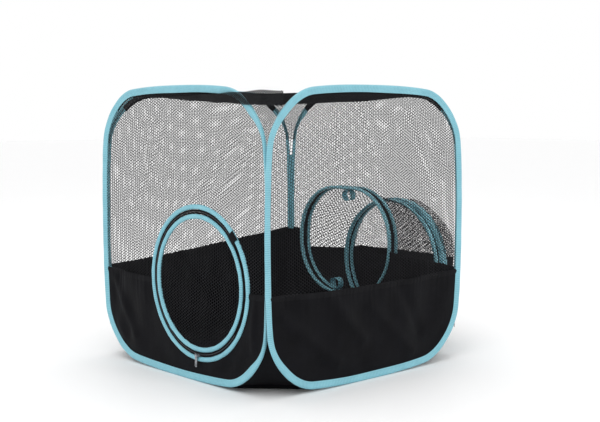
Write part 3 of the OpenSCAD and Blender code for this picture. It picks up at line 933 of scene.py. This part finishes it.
def sleeve_point(t, s):
    """A point on the sleeve wall: angle t, and s from the root ring (0) to the mouth ring (1)."""
    start, end = ROOT_OUT, MOUTH_OUT
    cx = PORT_AT[0] + (MOUTH_AT[0] - PORT_AT[0]) * s
    cy = PORT_AT[1] + (MOUTH_AT[1] - PORT_AT[1]) * s
    fold = np.sin(pi * s) * (0.0022 * np.sin(9 * t + 2) + 0.0014 * np.sin(17 * t)) - 0.002 * np.sin(pi * s)
    return (cx + sleeve_reach(np.cos(t), s, PORT_W) + fold * np.cos(t),
            cy + sleeve_reach(np.sin(t), s, PORT_H) + fold * np.sin(t),
            start + (end - start) * s)


def sleeve_reach(k, s, size):
    """How far the sleeve reaches along X or Y: a rounded rectangle that turns into a circle."""
    root = (size / 2 - PORT_R) * np.tanh(4 * k) + (PORT_R - RING_R) * k
    return root * (1 - s) + (MOUTH_R - RING_R) * k * s


SLANT = 0.054                    # length of the sleeve wall from ring to ring
CLOTH_TOP = 0.158                # height of the black cloth in the sleeve and its end bag


def sleeve_split(s):
    """The angle above level where the sleeve's cloth meets its net, at share s of the way out."""
    level = CLOTH_TOP - PORT_AT[1] - (MOUTH_AT[1] - PORT_AT[1]) * s
    k = level / MOUTH_R
    for _ in range(6):
        slope = (sleeve_reach(k + 0.001, s, PORT_H) - sleeve_reach(k - 0.001, s, PORT_H)) / 0.002
        k = k - (sleeve_reach(k, s, PORT_H) - level) / slope
    return np.arcsin(np.clip(k, -1, 1))


def sleeve_walls():
    mean = 0.120
    low, high = -radians(20), pi + radians(20)

    def inside(u, v):
        t, s = u / mean, np.clip(v / SLANT, 0, 1)
        split = sleeve_split(s) - 0.05
        return (t > split) & (t < pi - split) & (v > -0.0005) & (v < SLANT + 0.0005)

    flat = honeycomb(inside, (low * mean, -0.002), (high * mean, SLANT + 0.002), 0.0046, 0.00112)
    net = net_piece("sleeve_top_net", flat,
                    lambda u, v: sleeve_point(u / mean, np.clip(v / SLANT, 0, 1)), NET,
                    "sleeve_side", SLEEVE)
    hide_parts("sleeve_net")

    n, m = 110, 14
    rows = []
    for i in range(n):
        row = []
        for j in range(m):
            s = j / (m - 1)
            split = float(sleeve_split(s))
            row.append(sleeve_point(pi - split + (pi + 2 * split) * i / (n - 1), s))
        rows.append(row)
    base = loft("sleeve_bottom_cloth", rows, CLOTH, "sleeve_side",
                spread(mean * pi, n), spread(SLANT, m), place=SLEEVE)
    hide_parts("sleeve_base")
    for ob in (net, base):
        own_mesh(ob)


sleeve_walls()


def end_bag():
    """Net above and cloth below, straight past the end ring and then gathered on an elastic."""
    ring = MOUTH_R - RING_R
    gathered = ring - CUFF_END_R + 0.005
    drum, deep = CUFF_DRUM + RING_R, CUFF_LEN + RING_R
    length = drum + gathered
    split_y = CLOTH_TOP - MOUTH_AT[1]
    place = at(MOUTH_C, 0, 0, MOUTH_GAP)

    def bag(t, v):
        k = np.clip((v - drum) / gathered, 0, 1)
        loose = np.sin(pi * np.clip(v / 0.05, 0, 1))
        swell = loose * (0.002 + 0.010 * np.exp(-((t - 2.6) / 0.45) ** 2))
        swell = swell + loose * 0.002 * np.sin(7 * t + 1)
        r = ring + swell - gathered * k
        pleat = 0.0026 * np.sin(22 * t + 1.5 * np.sin(3 * t)) * np.sin(pi * k)
        z = np.minimum(v, drum) + (deep - drum) * k ** 0.7 * 0.9 + pleat
        return r * np.cos(t), r * np.sin(t), z

    def inside(u, v):
        return (bag(u / ring, v)[1] > split_y - 0.002) & (v > -0.0005) & (v < length + 0.0005)

    flat = honeycomb(inside, (-0.3 * ring, -0.002), ((pi + 0.3) * ring, length + 0.002), 0.0044, 0.00108)
    net = net_piece("sleeve_end_net", flat, lambda u, v: bag(u / ring, v), NET, "mouth", place)
    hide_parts("sleeve_cuff")

    n, m = 150, 34
    rows = []
    for j in range(m):
        v = length * j / (m - 1)
        k = min(max((v - drum) / gathered, 0), 1)
        split = float(np.arcsin(np.clip(split_y / (ring - gathered * k), -1, 1)))
        rows.append([tuple(float(c) for c in bag(pi - split + (pi + 2 * split) * i / (n - 1), v))
                     for i in range(n)])
    cloth = loft("sleeve_end_cloth", rows, CLOTH, "mouth",
                 spread(length, m), spread(ring * pi, n), place=place)

    n, m = 60, 8
    rows = []
    for i in range(n):
        t = tau * i / n
        fat = 0.0013 * (1 + 0.18 * sin(24 * t))
        rows.append([((CUFF_END_R + fat * cos(a)) * cos(t), (CUFF_END_R + fat * cos(a)) * sin(t),
                      deep - 0.001 + fat * sin(a)) for a in (tau * j / m for j in range(m))])
    elastic = loft("cuff_elastic", rows, TRIM, "mouth",
                   [tau * CUFF_END_R * i / n for i in range(n + 1)], [0.0008 * j for j in range(m + 1)],
                   True, True, place)
    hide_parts("cuff_cord")

    # Wide tape sewn round the outside of the end ring
    slack, wide = 0.0004, 0.0150
    pts, out, dist = circle_path(MOUTH_R + slack)
    rows = [[(p[0] + o[0] * slack * sin(31 * i / 23 + j), p[1] + o[1] * slack * sin(31 * i / 23 + j),
              -0.0020 + wide * j / 6) for j in range(7)] for i, (p, o) in enumerate(zip(pts, out))]
    tape = loft("end_ring_tape", rows, AQUA, "mouth", dist,
                spread(wide, 7), True, place=at(MOUTH_C, 0, 0, MOUTH_GAP))
    solidify(tape, 0.0008)


end_bag()


# ---------- Roof, floor and corners ----------

def octagon_distance(x, y):
    """How far outside the panel's eight-sided outline, negative inside."""
    a, b = np.abs(x), np.abs(y)
    return np.maximum(np.maximum(a, b) - PANEL_EDGE, (a + b - PANEL_EDGE - STRAIGHT) / sqrt(2))


def roof_outline(x, y):
    """The roof net keeps its point at the front corner, where its edge shows."""
    square = np.maximum(np.abs(x), np.abs(y)) - PANEL_EDGE
    return np.where((x < 0) & (y < 0), square, octagon_distance(x, y))


def roof_height(x, y):
    sag = 0.0170 * (1 - (x / PANEL_EDGE) ** 2) * (1 - (y / PANEL_EDGE) ** 2)
    edge = smoothstep(-octagon_distance(x, y) / 0.03)
    sag = sag + BOW * HOOP_H / 2 * (x * y / PANEL_EDGE ** 2) ** 2
    return ROOF_EDGE_Z - sag + 0.0009 * waves(x, y, 61, 0.12) * edge


def roof():
    flat = honeycomb(lambda x, y: roof_outline(x, y) < 0.0, (-PANEL_EDGE, -PANEL_EDGE),
                     (PANEL_EDGE, PANEL_EDGE), 0.0048, 0.00085)
    ob = net_piece("roof_net", flat, lambda x, y: (x * 1.02, y * 1.02, roof_height(x, y)), DARK_NET,
                   "floor", depth=0.0008)
    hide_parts("roof_panel")
    squash_flat(ob)


def roof_edge():
    """The roof net's edge, which hangs over the door side's hoop near the front corner."""
    start, turn_y, turn_r = 0.020, -0.2095, 0.009
    straight = start - turn_y
    length = straight + turn_r * pi / 2 + 0.030
    x_out = -0.2249

    def shape(s, v):
        run = np.clip(s, 0, straight)
        turn = np.clip((s - straight) / turn_r, 0, pi / 2)
        on = np.maximum(s - straight - turn_r * pi / 2, 0)
        x = x_out + turn_r * (1 - np.cos(turn)) + on
        y = start - run - turn_r * np.sin(turn)
        share = np.clip(s / straight, 0, 1)
        low, high = 0.4538 - 0.0110 * share, 0.4565 + 0.0088 * share
        z = low + (high - low) * v / 0.014 + 0.0006 * np.sin(s * 90)
        return x + 0.0004 * np.sin(s * 130 + v * 300), y, z

    flat = honeycomb(lambda s, v: (s >= 0) & (s <= length) & (v >= 0) & (v <= 0.014), (0, 0),
                     (length, 0.014), 0.0024, 0.00150)
    ob = net_piece("roof_edge_net", flat, shape, DARK_NET, "door_side")


def squash_flat(ob):
    """Gives a piece of fabric between the sides its own copy of its mesh."""
    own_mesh(ob)


def floor():
    n = 120
    line = np.linspace(-PANEL_EDGE, PANEL_EDGE, n)
    x, y = np.meshgrid(line, line, indexing="ij")
    d = octagon_distance(x, y)
    fold = (ridge(x, y, (-0.15, -0.12), (0.05, 0.02), 0.012, 0.0022)
            + ridge(x, y, (0.14, -0.10), (0.02, 0.13), 0.011, 0.0020)
            + ridge(x, y, (-0.12, 0.15), (-0.02, 0.05), 0.012, 0.0018))
    z = FLOOR_Z + (fold + 0.0006 * (1 + waves(x, y, 71, 0.09))) * smoothstep(-d / 0.03)
    z = z + 0.0145 * smoothstep(1 + d / 0.007) * (d > -0.007)
    rows = np.stack([x, y, z], -1)
    cut = (np.abs(x) + np.abs(y)) > PANEL_EDGE + STRAIGHT
    over = np.where(cut, (np.abs(x) + np.abs(y) - PANEL_EDGE - STRAIGHT) / 2, 0)
    rows[..., 0] -= np.sign(x) * over
    rows[..., 1] -= np.sign(y) * over
    ob = partial("floor_cloth", rows, over < (line[1] - line[0]) * 1.01, CLOTH, "floor",
                 line, line)
    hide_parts("floor_panel")
    squash_flat(ob)


roof()
roof_edge()
floor()


def gusset_point(corner, up, a, q):
    """Across one corner: a is the angle up the hoops' rounded corners, q from side to side."""
    inset = 0.0105 if up > 0 else 0.0025
    edge = PANEL_EDGE if corner == (-1, -1) else GUSSET_EDGE
    u = STRAIGHT + (HOOP_R - inset) * np.cos(a)
    z = HOOP_H / 2 + up * (HOOP_H / 2 - HOOP_R + (HOOP_R - inset) * np.sin(a))
    u, z = bowed(u, z)
    x, y = u + (edge - u) * q, edge + (u - edge) * q
    hollow = 0.10 * np.sin(pi * q) * (edge - u)
    x, y = x - hollow * 0.7, y - hollow * 0.7
    sx, sy = corner
    if sx * sy < 0:
        x, y = y, x
    return sx * x, sy * y, z


GUSSET_EDGE = 0.2222             # the gussets' reach, except at the front corner
GUSSET_BODIES = {(-1, -1): None, (1, 1): None, (-1, 1): ("door_side", "rear_side"),
                 (1, -1): ("front_side", "sleeve_side")}


def gussets(up, label, node):
    """Four pieces of cloth or net across the corners; the front and back ones ride on the floor, and the
    other two ride on no body.
    """
    lo, hi = radians(-1), radians(88)
    for corner, bodies in GUSSET_BODIES.items():
        tag = {(-1, -1): "front", (1, 1): "back", (-1, 1): "left", (1, -1): "right"}[corner]
        name = f"{label}_{tag}"
        if up > 0:
            arc, wide = 0.0735 * (hi - lo), 0.080
            flat = honeycomb(lambda u, v: (u >= 0) & (u <= wide) & (v >= 0) & (v <= arc), (0, 0),
                             (wide, arc), PITCH, 0.0013)
            pts, tris, quads = flat
            a = lo + (hi - lo) * np.clip(pts[:, 1] / arc, 0, 1)
            q = np.clip(pts[:, 0] / wide, 0, 1)
            xyz = np.stack(gusset_point(corner, up, a, q), -1)
            ob = piece(name, xyz, tris.tolist() + quads.tolist(), NET, None if bodies else "floor",
                       smooth=False)
        else:
            n, m = 26, 22
            rows = [[gusset_point(corner, up, lo + (hi - lo) * i / (n - 1), j / (m - 1)) for j in range(m)]
                    for i in range(n)]
            ob = loft(name, rows, CLOTH, None if bodies else "floor",
                      spread(0.13, n), spread(0.12, m))
        if bodies:
            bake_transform(ob)
        else:
            squash_flat(ob)
    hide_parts(node)


gussets(1, "roof_corner_net", "roof_gussets")
gussets(-1, "floor_corner_cloth", "floor_gussets")


def corner_thread(name, body, node, sx, sy):
    """Whipped stitches down a corner, where the hoops' bindings are sewn together."""
    low, high = 0.130, 0.346
    n, m = 320, 10
    rows = []
    for i in range(n):
        z = low + (high - low) * i / (n - 1)
        fat = 1 + 0.22 * sin(i * tau / 5)
        reach = float(bowed(C, z)[0])
        row = []
        for j in range(m):
            a = tau * j / m
            across, deep = 0.0016 * cos(a), 0.0006 * fat * sin(a)
            row.append((sx * (reach + across + deep), sy * (reach - across + deep), z + 0.0006 * cos(a)))
        rows.append(row)
    ob = loft(name, rows, AQUA, body, [0.0009 * i for i in range(n)],
              [0.0004 * j for j in range(m + 1)], False, True)
    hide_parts(node)


corner_thread("front_thread", "floor", "front_seam", -1, -1)
corner_thread("left_thread", "door_side", "left_seam", -1, 1)
corner_thread("right_thread", "front_side", "right_seam", 1, -1)
corner_thread("rear_thread", "rear_side", "rear_seam", 1, 1)


# ---------- CAD nodes that stay, with better materials ----------

def refinish(mat, *nodes):
    for n in nodes:
        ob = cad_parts[n]
        for slot in ob.material_slots:
            slot.material = mat


refinish(STEEL, "rim_wire", "door_wire", "port_wire", "root_wire", "mouth_wire", "end_wire")
refinish(GUNMETAL, "zip_slider", "zip_pull")


# ---------- Floor and light ----------

def studio():
    mesh = bpy.data.meshes.new("studio_floor")
    size = 14.0
    mesh.from_pydata([(-size, -size, 0), (size, -size, 0), (size, size, 0), (-size, size, 0)], [],
                     [(0, 1, 2, 3)])
    s = Shader("studio_floor", Roughness=0.55, Specular_IOR_Level=0.2)
    shades = [(0.0, (0.97, 0.97, 0.972)), (1.0, (0.985, 0.985, 0.987))]
    s.into("Base Color", s.ramp(s.noise(s.local(), 3.0), shades))
    mesh.materials.append(s.mat)
    ground = bpy.data.objects.new("studio_floor", mesh)
    bpy.context.scene.collection.objects.link(ground)

    world = bpy.data.worlds.new("studio")
    bpy.context.scene.world = world
    world.use_nodes = True
    back = world.node_tree.nodes["Background"]
    back.inputs["Color"].default_value = (1, 1, 1, 1)
    back.inputs["Strength"].default_value = 1.0

    for name, where, size, power in (("key", (-1.6, -1.0, 2.4), 1.6, 12),
                                     ("side", (1.6, -2.2, 1.4), 1.4, 5),
                                     ("top", (0.3, 0.6, 2.6), 2.2, 8)):
        data = bpy.data.lights.new(name, "AREA")
        data.shape, data.size, data.energy = "DISK", size, power
        lamp = bpy.data.objects.new(name, data)
        lamp.location = where
        lamp.rotation_euler = (Vector((0, 0, 0.2)) - Vector(where)).to_track_quat("-Z", "Y").to_euler()
        bpy.context.scene.collection.objects.link(lamp)
    view = bpy.context.scene.view_settings
    view.view_transform, view.look = "Standard", "None"
    view.exposure, view.gamma = 0.0, 1.0


studio()
